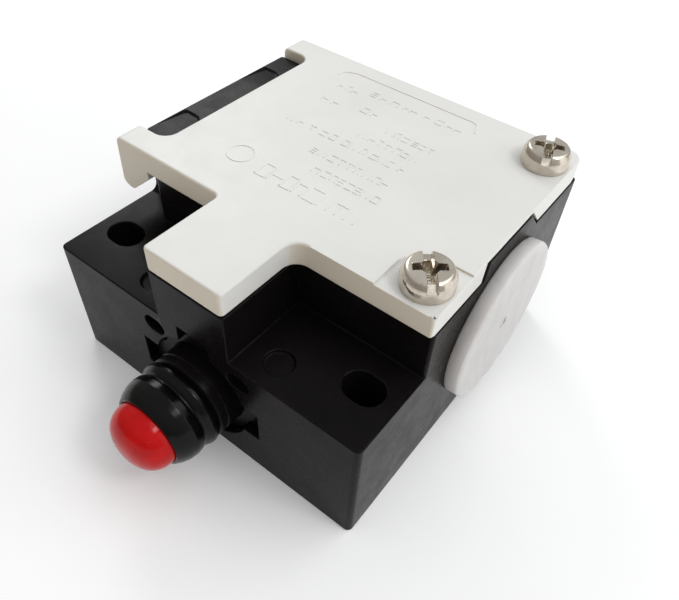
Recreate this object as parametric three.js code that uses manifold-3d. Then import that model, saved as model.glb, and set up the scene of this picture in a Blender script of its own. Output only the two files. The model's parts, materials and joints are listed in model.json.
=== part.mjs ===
// A plunger limit switch in a wide insulated enclosure, in millimetres, +Z up.
// It lies on its mounting face: the plunger points along -Y, the cover faces +Z, the cable entry faces +X.
// The origin is on the mounting face, midway between the two fixing slots.
import * as THREE from "three";
import { mergeVertices } from "three/addons/utils/BufferGeometryUtils.js";
import Module from "manifold-3d";

const wasm = await Module();
wasm.setup();

// ---- Driving dimensions. Y runs from the front face, and the whole group is moved by SLOT_Y at the end.
const HALF_WIDTH = 31;
const LENGTH = 62.4;
const EAR_HEIGHT = 24;
const EAR_DEPTH = 15.8;
const RIM_Z = 33.3;
const WALL = 3;
const SLOT_X = 25.15;
const SLOT_Y = 9;
const SLOT_RADIUS = 2.65;
const SLOT_STRAIGHT = 0.7;
const HEAD_HALF_WIDTH = 7.4;
const LEDGE_X = -23.5;

const COVER_BOTTOM = 33.6;
const COVER_TOP = 38;
const COVER_FRONT = 14.8;
const COVER_SIDE = 30.9;
const COVER_CEILING = 36;
const RECESS_X = -24.3;
const RECESS_Y0 = 19.8;
const RECESS_Y1 = 57;
const RECESS_CORNER = 2.4;
const STRIP_TOP = 36.3;
const FOOT_BOTTOM = 28.4;
const FOOT_ROUNDING = 1.2;
const TONGUE_X = 30.1;
const TONGUE = [[29.3, 32.3], [29.8, 37], [43.1, 37], [46.6, 33.4], [46.6, 32.3]];
const NOTCH = [[28.4, 32], [28.9, 37.4], [43.4, 37.4], [47, 33.6], [47, 32]];
const PAD = { x: 21.2, y: 24.8, depth: 0.35, corner: 5 };

const SCREW_X = 26.6;
const SCREW_Y = [19.6, 55.7];
const SCREW_SEAT = [COVER_TOP - PAD.depth, COVER_TOP];
const SLOT_ANGLE = [129, 110];
const HEAD_RADIUS = 3.95;
const HEAD_HEIGHT = 3.3;
const HEAD_SHOULDER = [[3.95, 1.5], [3.8, 2.35], [3.35, 2.95], [2.3, 3.25]];
const SHANK_RADIUS = 1.95;
const SHANK_LENGTH = 14;
const INSERT = { radius: 2.8, bore: 2.15, bottom: 21.6 };

const ENTRY_Y = 37.5;
const ENTRY_Z = 19.2;
const ENTRY_RADIUS = 9.2;
const CAP_RADIUS = 14.45;
const CAP_THICK = 2.6;

const AXIS_Z = 11.57;
const BUTTON_RADIUS = 5.9;
const BUTTON_RIM_Y = -11.1;
const BUTTON_BACK_Y = -10.2;
const BUTTON_TIP_Y = -15.75;
const STUD_Y = -13;
const SHAFT_RADIUS = 3;
const BUSH_RADIUS = 7.74;
const BUSH_BORE = 7.9;
const RING_RADIUS = 9.86;
const LUG_REACH = 12.5;
const LUG_WIDTH = 6.4;
const FRONT_RECESS = 3;

const CHAMBER = { x0: -20.5, x1: 26.8, y0: 18.8, y1: 59.4, z0: 3 };
const PILLAR_X = 22.3;
const PILLAR_Y = [24.3, 51];
const DIMPLE = { x: 13, y: 4.8, radius: 2.4, depth: 0.6 };
const PIN_HOLE = { x: 8.9, z: 20.2, straight: 0.6, radius: 1.55, depth: 4 };

const BLOCK = { x: 16, y0: 21, y1: 56.5, z0: 3.2, floor: 5.6, top: 16 };
const CHANNEL_X = 5.4;
const CARRIER_X = 4.8;
const NC_Y = 29.7;
const NO_Y = 36;
const TRAVEL = 4;
const BRIDGE_THICK = 0.8;
const TIP_X = 9.4;
const TERMINAL_X = 11.7;
const TERMINAL_Y = { nc: 25, no: 46.6 };
const BLOCK_SCREW_Y = 53.6;
const SCREW_HOLE = 1.7;
const POCKET_FLOOR = 8.4;
const WINDOW_Z = [9.4, 13.8];
const CLEAR = 0.1;

// ---- Solids: closed geometries joined and cut by manifold-3d.
function solid(geometry) {
  const bare = geometry.index ? geometry.toNonIndexed() : geometry.clone();
  for (const name of Object.keys(bare.attributes)) {
    if (name !== "position") bare.deleteAttribute(name);
  }
  const merged = mergeVertices(bare, 1e-4);
  const mesh = new wasm.Mesh({
    numProp: 3,
    vertProperties: merged.attributes.position.array,
    triVerts: new Uint32Array(merged.index.array),
  });
  return new wasm.Manifold(mesh);
}

function join(...parts) {
  return parts.reduce((sum, part) => sum.add(part));
}

function cut(body, ...tools) {
  return tools.reduce((rest, tool) => rest.subtract(tool), body);
}

function box(x0, x1, y0, y1, z0, z1) {
  const geometry = new THREE.BoxGeometry(x1 - x0, y1 - y0, z1 - z0);
  return solid(geometry.translate((x0 + x1) / 2, (y0 + y1) / 2, (z0 + z1) / 2));
}

// A round bar along "x", "y" or "z" from a to b, with its axis through the other two coordinates.
function bar(axis, radius, a, b, [u, v], sides = 32) {
  const geometry = new THREE.CylinderGeometry(radius, radius, b - a, sides);
  geometry.translate(0, (a + b) / 2, 0);
  if (axis === "x") return solid(geometry.rotateZ(-Math.PI / 2).translate(0, u, v));
  if (axis === "z") return solid(geometry.rotateX(Math.PI / 2).translate(u, v, 0));
  return solid(geometry.translate(u, 0, v));
}

// A closed outline of [x, y, radius] corners, each rounded by its radius where it has one.
function outline(corners) {
  const shape = new THREE.Shape();
  const at = (i) => new THREE.Vector2(...corners[(i + corners.length) % corners.length].slice(0, 2));
  corners.forEach(([x, y, radius = 0], i) => {
    const here = new THREE.Vector2(x, y);
    const back = at(i - 1).sub(here).normalize();
    const on = at(i + 1).sub(here).normalize();
    const half = Math.acos(back.dot(on)) / 2;
    const start = here.clone().addScaledVector(back, radius / Math.tan(half));
    const end = here.clone().addScaledVector(on, radius / Math.tan(half));
    if (i === 0) shape.moveTo(start.x, start.y);
    else shape.lineTo(start.x, start.y);
    if (radius) {
      const centre = back.clone().add(on).normalize().multiplyScalar(radius / Math.sin(half)).add(here);
      const from = start.sub(centre).angle();
      const to = end.sub(centre).angle();
      shape.absarc(centre.x, centre.y, radius, from, to, back.cross(on) > 0);
    }
  });
  return shape;
}

function extruded(corners, depth, curveSegments = 4) {
  return new THREE.ExtrudeGeometry(outline(corners), { depth, bevelEnabled: false, curveSegments });
}

// A plate drawn in X and Y, from z0 to z1.
function plate(corners, z0, z1) {
  return solid(extruded(corners, z1 - z0).translate(0, 0, z0));
}

// A prism drawn in Y and Z, from x0 to x1.
function prismAlongX(corners, x0, x1) {
  const turn = new THREE.Matrix4().set(0, 0, 1, x0, 1, 0, 0, 0, 0, 1, 0, 0, 0, 0, 0, 1);
  return solid(extruded(corners, x1 - x0).applyMatrix4(turn));
}

// A prism drawn in X and Z, from y0 to y1.
function prismAlongY(corners, y0, y1) {
  return solid(extruded(corners, y1 - y0).rotateX(Math.PI / 2).translate(0, y1, 0));
}

// A body turned about the plunger axis. The profile is [radius, y] from the front to the back.
function turned(profile, sides = 36) {
  const points = profile.map(([radius, y]) => new THREE.Vector2(radius, y));
  return solid(new THREE.LatheGeometry(points, sides).translate(0, 0, AXIS_Z));
}

function rectangle(x0, x1, y0, y1, radius = 0) {
  return [[x0, y0, radius], [x1, y0, radius], [x1, y1, radius], [x0, y1, radius]];
}

function oval(x, y, straight, radius) {
  const long = straight + radius;
  return rectangle(x - long, x + long, y - radius, y + radius, radius * 0.999);
}

// A coil along +Y from y0 to y1, on the axis at (x, z).
function coil(radius, wire, turns, y0, y1, [x, z]) {
  class Helix extends THREE.Curve {
    getPoint(t, target = new THREE.Vector3()) {
      const angle = 2 * Math.PI * turns * t;
      const y = y0 + wire + (y1 - y0 - 2 * wire) * t;
      return target.set(x + radius * Math.cos(angle), y, z + radius * Math.sin(angle));
    }
  }
  const section = new THREE.Shape().absarc(0, 0, wire, 0, 2 * Math.PI);
  const settings = { steps: Math.round(turns * 12), curveSegments: 3, extrudePath: new Helix() };
  return solid(new THREE.ExtrudeGeometry(section, settings));
}

// ---- Named nodes.
const part = new THREE.Group();
part.position.y = -SLOT_Y;

function material(color, roughness, metalness = 0) {
  return new THREE.MeshStandardMaterial({ color, roughness, metalness });
}

const blackPlastic = () => material(0x262325, 0.55);
const blackRubber = () => material(0x141414, 0.35);
const greyPlastic = () => material(0xe4e4df, 0.5);
const whitePlastic = () => material(0xdcd8d6, 0.4);
const redPlastic = () => material(0xc01818, 0.25);
const creamPlastic = () => material(0xd9cfb4, 0.55);
const nickel = () => material(0xb9b3a8, 0.3, 1);
const brass = () => material(0xb8974f, 0.35, 1);
const springSteel = () => material(0x9a9a9c, 0.35, 1);
const silver = () => material(0xc9c6c0, 0.3, 1);

function add(name, body, finish) {
  const mesh = body.getMesh();
  const geometry = new THREE.BufferGeometry();
  geometry.setAttribute("position", new THREE.BufferAttribute(mesh.vertProperties, 3));
  geometry.setIndex(new THREE.BufferAttribute(mesh.triVerts, 1));
  geometry.computeVertexNormals();
  const node = new THREE.Mesh(geometry, finish);
  node.name = name;
  part.add(node);
}

// ---- Housing: ears in front, contact chamber behind, entry bosses at both sides.
function fixingSlot(x) {
  return plate(oval(x, SLOT_Y, SLOT_STRAIGHT, SLOT_RADIUS), -1, EAR_HEIGHT + 1);
}

// A concave rounding where the side boss meets the ledge in front of it.
function bossFillet(y) {
  const radius = 1.4;
  const wedge = box(-HALF_WIDTH, LEDGE_X + 1, y - radius, y + 0.5, EAR_HEIGHT - 0.5, EAR_HEIGHT + radius);
  return cut(wedge, bar("x", radius, -HALF_WIDTH - 1, LEDGE_X + 2, [y - radius, EAR_HEIGHT + radius], 32));
}

function housingBlock() {
  const base = plate([
    [-HALF_WIDTH, 0, 1],
    [HALF_WIDTH, 0, 1],
    [HALF_WIDTH, LENGTH, 0.6],
    [-HALF_WIDTH, LENGTH, 0.6],
  ], 0, EAR_HEIGHT);
  const upper = plate(rectangle(LEDGE_X, HALF_WIDTH, EAR_DEPTH, LENGTH, 0.6), EAR_HEIGHT - 1, RIM_Z);
  const head = box(-HEAD_HALF_WIDTH, HEAD_HALF_WIDTH, 0, EAR_DEPTH + 2, EAR_HEIGHT - 1, RIM_Z);
  const bossY = [RECESS_Y0 + 1.2, RECESS_Y1 - 0.5];
  const sideBoss = box(-HALF_WIDTH, LEDGE_X + 1, ...bossY, EAR_HEIGHT - 1, RIM_Z);
  const stripEdge = RECESS_X - 0.3;
  const strip = plate([
    [-HALF_WIDTH, bossY[0], 0.6],
    [stripEdge, bossY[0], RECESS_CORNER],
    [stripEdge, bossY[1], RECESS_CORNER],
    [-HALF_WIDTH, bossY[1], 0.6],
  ], RIM_Z - 1, STRIP_TOP);
  const tongue = prismAlongX(TONGUE, TONGUE_X, HALF_WIDTH);
  return join(base, upper, head, sideBoss, bossFillet(bossY[0]), strip, tongue);
}

// Two shallow pockets in the strip, whose floors slope down to a rounded far end.
function stripPockets() {
  const [left, right, deep] = [-30.6, -25.5, 0.4];
  return [[22.5, 29.8], [43.6, 50.8]].map(([y0, y1]) => {
    const corners = [[left, y0], [right, y0], [right, y1, 2.8], [left, y1, 0.6]];
    const profile = [[y0, STRIP_TOP], [y1, STRIP_TOP - deep], [y1, STRIP_TOP + 1], [y0, STRIP_TOP + 1]];
    const ramp = prismAlongX(profile, left, right);
    return plate(corners, STRIP_TOP - 1, STRIP_TOP + 1).intersect(ramp);
  });
}

function chamberSpace() {
  const { x0, x1, y0, y1, z0 } = CHAMBER;
  const space = box(x0, x1, y0, y1, z0, RIM_Z + 1);
  const nearPillar = box(PILLAR_X, x1 + 1, y0 - 1, PILLAR_Y[0], 0, RIM_Z + 2);
  const farPillar = box(PILLAR_X, x1 + 1, PILLAR_Y[1], y1 + 1, 0, RIM_Z + 2);
  const entryBoss = bar("x", ENTRY_RADIUS + 2.3, x1 - 6, x1 + 1, [ENTRY_Y, ENTRY_Z]);
  return cut(space, nearPillar, farPillar, entryBoss);
}

function headSpace() {
  const pocket = box(-4.6, 4.6, WALL, CHAMBER.y0 + 1, 21.5, RIM_Z + 1);
  const bore = bar("y", BUSH_BORE, -1, CHAMBER.y0 + 1, [0, AXIS_Z], 36);
  const recess = bar("y", RING_RADIUS, -1, FRONT_RECESS, [0, AXIS_Z], 36);
  const half = LUG_WIDTH / 2;
  const across = box(-LUG_REACH, LUG_REACH, -1, FRONT_RECESS, AXIS_Z - half, AXIS_Z + half);
  const upright = box(-half, half, -1, FRONT_RECESS, 0.8, AXIS_Z + LUG_REACH);
  return join(pocket, bore, recess, across, upright);
}

function housing() {
  const slots = [-SLOT_X, SLOT_X].map(fixingSlot);
  const dimples = [-1, 1].map((side) => {
    const { x, y, radius, depth } = DIMPLE;
    return bar("z", radius, EAR_HEIGHT - depth, EAR_HEIGHT + 1, [side * x, y], 20);
  });
  const pinHoles = [-1, 1].map((side) => {
    const { x, z, straight, radius, depth } = PIN_HOLE;
    return prismAlongY(oval(side * x, z, straight, radius), -1, depth);
  });
  const entry = bar("x", ENTRY_RADIUS, CHAMBER.x1 - 8, HALF_WIDTH + 1, [ENTRY_Y, ENTRY_Z]);
  const blindEntry = bar("x", ENTRY_RADIUS, -HALF_WIDTH + 1.5, CHAMBER.x0 + 1, [ENTRY_Y, ENTRY_Z]);
  const knockout = bar("x", ENTRY_RADIUS + 0.4, -HALF_WIDTH - 1, -HALF_WIDTH + 0.5, [ENTRY_Y, ENTRY_Z]);
  const { radius, bottom } = INSERT;
  const inserts = SCREW_Y.map((y) => bar("z", radius + 0.15, bottom - 0.2, RIM_Z + 1, [SCREW_X, y], 20));
  const blockScrews = [-1, 1].map((side) => {
    return bar("z", SCREW_HOLE, 1, CHAMBER.z0 + 1, [side * TERMINAL_X, BLOCK_SCREW_Y], 12);
  });
  return cut(
    housingBlock(), chamberSpace(), headSpace(), ...stripPockets(), ...slots, ...dimples, ...pinHoles,
    entry, blindEntry, knockout, ...inserts, ...blockScrews,
  );
}

// ---- Cover: a T-shaped cap with two hooked feet on its -X side.
const sealPath = (inset) => [
  [-5.9 + inset, 1.4 + inset],
  [5.9 - inset, 1.4 + inset],
  [5.9 - inset, 16.3 + inset],
  [23.6 - inset, 16.3 + inset],
  [23.6 - inset, 22.9 + inset],
  [28.4 - inset, 22.9 + inset],
  [28.4 - inset, 52.4 - inset],
  [23.6 - inset, 52.4 - inset],
  [23.6 - inset, 60.9 - inset],
  [-22.9 + inset, 60.9 - inset],
  [-22.9 + inset, 16.3 + inset],
  [-5.9 + inset, 16.3 + inset],
];

function coverFoot(y0, y1) {
  const profile = [
    [-HALF_WIDTH, COVER_BOTTOM + 1],
    [-HALF_WIDTH, FOOT_BOTTOM, 1.6],
    [-28.7, FOOT_BOTTOM, 0.6],
    [-24, 32.6],
    [-24, COVER_BOTTOM + 1],
  ];
  return prismAlongY(profile, y0, y1);
}

// What is cut away to round the outer top edge over a foot.
function footRounding(y0, y1) {
  const [x, z] = [FOOT_ROUNDING - HALF_WIDTH, COVER_TOP - FOOT_ROUNDING];
  const corner = box(-HALF_WIDTH - 1, x, y0, y1, z, COVER_TOP + 1);
  return cut(corner, bar("y", FOOT_ROUNDING, y0 - 1, y1 + 1, [x, z], 32));
}

function cover() {
  const head = HEAD_HALF_WIDTH;
  const blank = plate([
    [-head, -0.1, 0.8],
    [head, -0.1, 0.8],
    [head, COVER_FRONT, 2.6],
    [COVER_SIDE, COVER_FRONT, 0.5],
    [COVER_SIDE, LENGTH, 2.2],
    [-HALF_WIDTH, LENGTH],
    [-HALF_WIDTH, RECESS_Y1],
    [RECESS_X, RECESS_Y1, RECESS_CORNER],
    [RECESS_X, RECESS_Y0, RECESS_CORNER],
    [-HALF_WIDTH, RECESS_Y0],
    [-HALF_WIDTH, COVER_FRONT],
    [-head, COVER_FRONT, 1],
  ], COVER_BOTTOM, COVER_TOP);
  const pocket = plate(sealPath(-CLEAR), COVER_BOTTOM - 1, COVER_CEILING);
  const notch = prismAlongX(NOTCH, TONGUE_X - 0.3, HALF_WIDTH + 1);
  const padOutline = [
    [PAD.x, COVER_FRONT - 1],
    [COVER_SIDE + 1, COVER_FRONT - 1],
    [COVER_SIDE + 1, PAD.y],
    [PAD.x, PAD.y, PAD.corner],
  ];
  const pad = plate(padOutline, COVER_TOP - PAD.depth, COVER_TOP + 1);
  const holes = SCREW_Y.map((y) => {
    return bar("z", SHANK_RADIUS + 0.35, COVER_BOTTOM - 1, COVER_TOP + 1, [SCREW_X, y], 20);
  });
  const feet = [[COVER_FRONT, RECESS_Y0], [RECESS_Y1, LENGTH]];
  const roundings = feet.map(([y0, y1]) => footRounding(y0 - 0.5, y1 + 0.5));
  const shell = cut(blank, pocket, notch, pad, ...holes, ...roundings);
  return join(shell, ...feet.map(([y0, y1]) => coverFoot(y0, y1)));
}

function coverGasket() {
  const outer = plate(sealPath(0), RIM_Z + 0.02, COVER_CEILING - CLEAR);
  return cut(outer, plate(sealPath(1.25), RIM_Z - 1, COVER_CEILING + 1));
}

// ---- Screws. Each stands on z, with its head above and its shank below.
function recessBar(x, y, top, long, wide, deep, degrees) {
  const geometry = new THREE.BoxGeometry(long, wide, 2 * deep).rotateZ(THREE.MathUtils.degToRad(degrees));
  return solid(geometry.translate(x, y, top));
}

function slottedCross(x, y, top, { long, wide, degrees }) {
  return join(
    recessBar(x, y, top, 2 * long, wide, 1.1, degrees),
    recessBar(x, y, top, long, wide * 0.9, 1.6, degrees),
    recessBar(x, y, top, long, wide * 0.9, 1.6, degrees - 90),
  );
}

function coverScrew(y, under, degrees) {
  const seat = under + 0.02;
  const top = seat + HEAD_HEIGHT;
  const profile = [
    [0, -SHANK_LENGTH], [SHANK_RADIUS, -SHANK_LENGTH], [SHANK_RADIUS, 0], [HEAD_RADIUS, 0],
    ...HEAD_SHOULDER, [1.2, HEAD_HEIGHT], [0, HEAD_HEIGHT],
  ];
  const points = profile.map(([radius, z]) => new THREE.Vector2(radius, z));
  const blank = new THREE.LatheGeometry(points, 28).rotateX(Math.PI / 2);
  const recess = slottedCross(SCREW_X, y, top, { long: 5.1, wide: 1.4, degrees });
  return cut(solid(blank.translate(SCREW_X, y, seat)), recess);
}

function smallScrew(x, y, z, head, shank, reach) {
  const body = join(bar("z", shank, z - reach, z + 0.2, [x, y], 12), bar("z", head, z, z + 2, [x, y], 20));
  return cut(body, slottedCross(x, y, z + 2, { long: head * 1.1, wide: 0.8, degrees: 60 }));
}

function screwInsert(y) {
  return cut(
    bar("z", INSERT.radius, INSERT.bottom, RIM_Z - CLEAR, [SCREW_X, y], 20),
    bar("z", INSERT.bore, INSERT.bottom - 1, RIM_Z + 1, [SCREW_X, y], 20),
  );
}

// ---- Cable entry cap: a disc with a hollow push-in plug.
function entryCap() {
  const face = HALF_WIDTH + CLEAR;
  const profile = [
    [0, face], [7.6, face], [7.6, face - 7], [8.9, face - 7], [8.95, face], [CAP_RADIUS, face],
    [CAP_RADIUS, face + CAP_THICK - 0.7], [CAP_RADIUS - 0.7, face + CAP_THICK], [0, face + CAP_THICK],
  ];
  const points = profile.map(([radius, x]) => new THREE.Vector2(radius, x));
  const geometry = new THREE.LatheGeometry(points, 48).rotateZ(-Math.PI / 2);
  return solid(geometry.translate(0, ENTRY_Y, ENTRY_Z));
}

// ---- Plunger head, all turned about the plunger axis.
function plungerButton() {
  const dome = [];
  const steps = 8;
  for (let i = 0; i <= steps; i += 1) {
    const angle = (i / steps) * (Math.PI / 2);
    const depth = (BUTTON_RIM_Y - BUTTON_TIP_Y) * Math.cos(angle);
    dome.push([BUTTON_RADIUS * Math.sin(angle), BUTTON_RIM_Y - depth]);
  }
  return turned([...dome, [BUTTON_RADIUS, BUTTON_BACK_Y], [2.1, BUTTON_BACK_Y], [2.1, STUD_Y], [0, STUD_Y]]);
}

function plungerShaft() {
  return turned([
    [0, STUD_Y + CLEAR], [2, STUD_Y + CLEAR], [2, BUTTON_BACK_Y + CLEAR], [SHAFT_RADIUS, BUTTON_BACK_Y + CLEAR],
    [SHAFT_RADIUS, 6.1], [4.9, 6.1], [4.9, 7.6], [SHAFT_RADIUS, 7.6], [SHAFT_RADIUS, 20.6], [0, 20.6],
  ], 24);
}

function gaiter() {
  return turned([
    [6.02, -11], [6.4, -11], [6.95, -10.2], [7.45, -9], [7.68, -7.8], [7.55, -6.5],
    [7.2, -6.15], [7.2, -5.85], [7.55, -5.5], [7.9, -5], [8, -4.4], [7.85, -3.7],
    [7.6, -3.3], [6.3, -3.3], [6.3, -8.4], [6.02, -10], [6.02, -11],
  ]);
}

function guideBush() {
  return turned([
    [3.2, -5], [6.2, -5], [6.2, -3.2], [BUSH_RADIUS, -3.2], [BUSH_RADIUS, 18.6], [5.3, 18.6],
    [5.3, 6], [3.2, 6], [3.2, 3.6], [4.7, 3.6], [4.7, 1.4], [3.2, 1.4], [3.2, -5],
  ]);
}

function shaftSeal() {
  return turned([
    [3.1, 1.8], [3.5, 1.5], [4.3, 1.5], [4.6, 1.9], [4.6, 3.1], [4.3, 3.5], [3.5, 3.5], [3.1, 3.2], [3.1, 1.8],
  ], 24);
}

function bushCap() {
  return turned([
    [3.2, 16.6], [5.2, 16.6], [5.2, 18.7], [7.4, 18.7], [7.4, 19.7], [3.2, 19.7], [3.2, 16.6],
  ], 24);
}

function bayonetRing() {
  const [y0, y1] = [1.6, FRONT_RECESS - CLEAR];
  const half = LUG_WIDTH / 2 - 0.2;
  const ring = bar("y", RING_RADIUS - 0.15, y0, y1, [0, AXIS_Z], 36);
  const across = box(-LUG_REACH + 0.3, LUG_REACH - 0.3, y0, y1, AXIS_Z - half, AXIS_Z + half);
  const upright = box(-half, half, y0, y1, 1, AXIS_Z + LUG_REACH - 0.3);
  return cut(join(ring, across, upright), bar("y", BUSH_RADIUS + 0.1, 0, 5, [0, AXIS_Z], 36));
}

// ---- Contact block. Everything in it is symmetric about x = 0.
function contactBase() {
  const { x, y0, y1, z0, floor, top } = BLOCK;
  const body = box(-x, x, y0, y1, z0, top);
  const channel = box(-CHANNEL_X, CHANNEL_X, y0 - 1, y1 - 2.5, floor, top + 1);
  const pockets = [-1, 1].map((side) => {
    const [a, b] = [side * (CHANNEL_X - 1), side * 11.6].sort((p, q) => p - q);
    return box(a, b, 27.2, 44.3, POCKET_FLOOR, top + 1);
  });
  const holes = terminals().map(([, px, py]) => bar("z", 1.9, 9, top + 1, [px, py], 12));
  const fixing = [-1, 1].map((side) => {
    return bar("z", SCREW_HOLE, z0 - 1, top + 1, [side * TERMINAL_X, BLOCK_SCREW_Y], 12);
  });
  const ribs = [-1, 1].map((side) => {
    const [a, b] = [side * (x - 0.7), side * x].sort((p, q) => p - q);
    return box(a, b, y0, y1, top - 1, top + 5);
  });
  return join(cut(body, channel, ...pockets, ...holes, ...fixing), ...ribs);
}

function contactLid() {
  return box(-7.8, 7.8, BLOCK.y0, BLOCK.y1, BLOCK.top + CLEAR, BLOCK.top + 1.4);
}

function terminals() {
  return ["nc", "no"].flatMap((kind) => [
    [kind + "_left", -TERMINAL_X, TERMINAL_Y[kind]],
    [kind + "_right", TERMINAL_X, TERMINAL_Y[kind]],
  ]);
}

function contactCarrier() {
  const top = BLOCK.top - 0.4;
  const body = box(-CARRIER_X, CARRIER_X, 20.9, 41.6, BLOCK.floor + 0.3, top);
  const ncWindow = box(-6, 6, NC_Y - 1, NC_Y + 3.6, ...WINDOW_Z);
  const noWindow = box(-6, 6, NO_Y - 3, NO_Y + BRIDGE_THICK + CLEAR, ...WINDOW_Z);
  return cut(body, ncWindow, noWindow);
}

function bridge(y) {
  const span = TIP_X + 1.5;
  return box(-span, span, y, y + BRIDGE_THICK, AXIS_Z - 1.7, AXIS_Z + 1.7);
}

// A fixed contact: a plate under the terminal screw, a leg down into the pocket and a contact tip.
function fixedContact(kind, x, y) {
  const side = Math.sign(x);
  const toBridge = kind === "nc" ? 1 : -1;
  const leg = y + toBridge * 2.9;
  const tipEnd = kind === "nc" ? NC_Y - CLEAR : NO_Y + BRIDGE_THICK + TRAVEL + CLEAR;
  const [a, b] = [side * 8.3, side * 15].sort((p, q) => p - q);
  const [c, d] = [side * 8.3, side * 10.9].sort((p, q) => p - q);
  const top = BLOCK.top + CLEAR;
  const strip = cut(box(a, b, y - 3.4, y + 3.4, top, top + 1), bar("z", 2, top - 1, top + 2, [x, y], 16));
  const drop = box(c, d, leg - 0.5, leg + 0.5, 9.4, top + 0.5);
  const tip = bar("y", 1.3, Math.min(leg, tipEnd), Math.max(leg, tipEnd), [side * 9.7, AXIS_Z], 16);
  return join(strip, drop, tip);
}

function clampPlate(x, y) {
  const z = BLOCK.top + 1.2;
  const [a, b] = [Math.sign(x) * 8.5, Math.sign(x) * 15].sort((p, q) => p - q);
  const saddle = join(box(a, b, y - 2.8, y + 2.8, z, z + 0.9), box(a, a + 0.8, y - 2.8, y + 2.8, z, z + 1.6));
  return cut(saddle, bar("z", 2, z - 1, z + 3, [x, y], 16));
}

// ---- Assembly.
function addEnclosure() {
  add("housing", housing(), blackPlastic());
  add("cover", cover(), greyPlastic());
  add("cover_gasket", coverGasket(), blackRubber());
  ["front", "rear"].forEach((place, i) => {
    add("cover_screw_" + place, coverScrew(SCREW_Y[i], SCREW_SEAT[i], SLOT_ANGLE[i]), nickel());
    add("screw_insert_" + place, screwInsert(SCREW_Y[i]), brass());
  });
  add("entry_cap", entryCap(), whitePlastic());
}

function addPlungerHead() {
  add("plunger_button", plungerButton(), redPlastic());
  add("plunger_shaft", plungerShaft(), springSteel());
  add("gaiter", gaiter(), blackRubber());
  add("guide_bush", guideBush(), blackPlastic());
  add("bayonet_ring", bayonetRing(), blackPlastic());
  add("shaft_seal", shaftSeal(), blackRubber());
  add("bush_cap", bushCap(), blackPlastic());
  add("return_spring", coil(4.15, 0.4, 4.5, 7.7, 16.5, [0, AXIS_Z]), springSteel());
}

function addContactBlock() {
  add("contact_base", contactBase(), creamPlastic());
  add("contact_lid", contactLid(), creamPlastic());
  add("contact_carrier", contactCarrier(), redPlastic());
  add("bridge_nc", bridge(NC_Y), silver());
  add("bridge_no", bridge(NO_Y), silver());
  const behind = NC_Y + BRIDGE_THICK;
  add("bridge_spring_nc", coil(1.5, 0.2, 3, behind + CLEAR, behind + 2.7, [0, AXIS_Z]), springSteel());
  add("bridge_spring_no", coil(1.5, 0.2, 3, NO_Y - 2.9, NO_Y - CLEAR, [0, AXIS_Z]), springSteel());
  add("carrier_spring", coil(3.6, 0.35, 5, 41.7, 53.9, [0, AXIS_Z]), springSteel());
  for (const [name, x, y] of terminals()) {
    add("fixed_contact_" + name, fixedContact(name.slice(0, 2), x, y), brass());
    add("clamp_plate_" + name, clampPlate(x, y), nickel());
    add("terminal_screw_" + name, smallScrew(x, y, BLOCK.top + 2.9, 2.9, 1.7, 8), nickel());
  }
  ["left", "right"].forEach((side, i) => {
    const x = TERMINAL_X * (2 * i - 1);
    add("block_screw_" + side, smallScrew(x, BLOCK_SCREW_Y, BLOCK.top + CLEAR, 2.7, 1.4, 14.8), nickel());
  });
}

addEnclosure();
addPlungerHead();
addContactBlock();

export default part;
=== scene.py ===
# The looks of a plunger limit switch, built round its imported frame. Metres; lengths below are in mm times MM.
import json
import math
import random

import bmesh
import bpy
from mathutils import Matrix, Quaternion, Vector
from mathutils.bvhtree import BVHTree


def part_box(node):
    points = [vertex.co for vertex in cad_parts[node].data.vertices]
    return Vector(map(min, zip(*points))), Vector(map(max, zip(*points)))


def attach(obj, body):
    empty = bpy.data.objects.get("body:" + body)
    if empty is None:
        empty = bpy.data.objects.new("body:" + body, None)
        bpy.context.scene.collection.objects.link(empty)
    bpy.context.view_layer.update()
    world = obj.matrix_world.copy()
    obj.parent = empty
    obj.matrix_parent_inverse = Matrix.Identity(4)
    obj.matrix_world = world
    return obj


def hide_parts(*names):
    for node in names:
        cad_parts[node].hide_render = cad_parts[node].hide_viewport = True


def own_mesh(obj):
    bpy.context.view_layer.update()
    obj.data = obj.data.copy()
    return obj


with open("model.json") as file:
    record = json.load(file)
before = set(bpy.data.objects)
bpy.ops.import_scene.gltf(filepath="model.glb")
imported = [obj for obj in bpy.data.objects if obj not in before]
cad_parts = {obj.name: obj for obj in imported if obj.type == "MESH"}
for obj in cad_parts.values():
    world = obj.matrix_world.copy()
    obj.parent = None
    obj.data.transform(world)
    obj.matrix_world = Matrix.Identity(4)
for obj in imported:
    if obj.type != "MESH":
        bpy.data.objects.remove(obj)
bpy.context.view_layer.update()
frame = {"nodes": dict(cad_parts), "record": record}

MM = 0.001
NODES = frame["nodes"]
BODY = {n: b for b, members in frame["record"]["behaviour"]["bodies"].items() for n in members}
SLOT = {entry["node"]: entry["material_slot"] for entry in frame["record"]["subparts"]}
SMOOTH_ANGLE = math.radians(35)
FLAT_ANGLE = math.radians(1)
WELD = 0.002 * MM

# ---- Camera: the lens, place and roll of a close view from above the front right corner.
LENS = 34.55
CAMERA_AT = Vector((52.04, -46.67, 99.54)) * MM
CAMERA_AIM = Vector((-0.38624, 0.56095, -0.73223))
CAMERA_ROLL = math.radians(4.05)


def camera():
    data = bpy.data.cameras.new("camera")
    data.lens = LENS
    data.clip_start, data.clip_end = 0.005, 20
    viewer = bpy.data.objects.new("camera", data)
    bpy.context.scene.collection.objects.link(viewer)
    viewer.location = CAMERA_AT
    viewer.rotation_mode = "QUATERNION"
    roll = Quaternion((0, 0, 1), CAMERA_ROLL)
    viewer.rotation_quaternion = CAMERA_AIM.to_track_quat("-Z", "Y") @ roll
    bpy.context.scene.camera = viewer


# ---- Shader graphs.
EDGE_SAMPLES = 4
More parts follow.
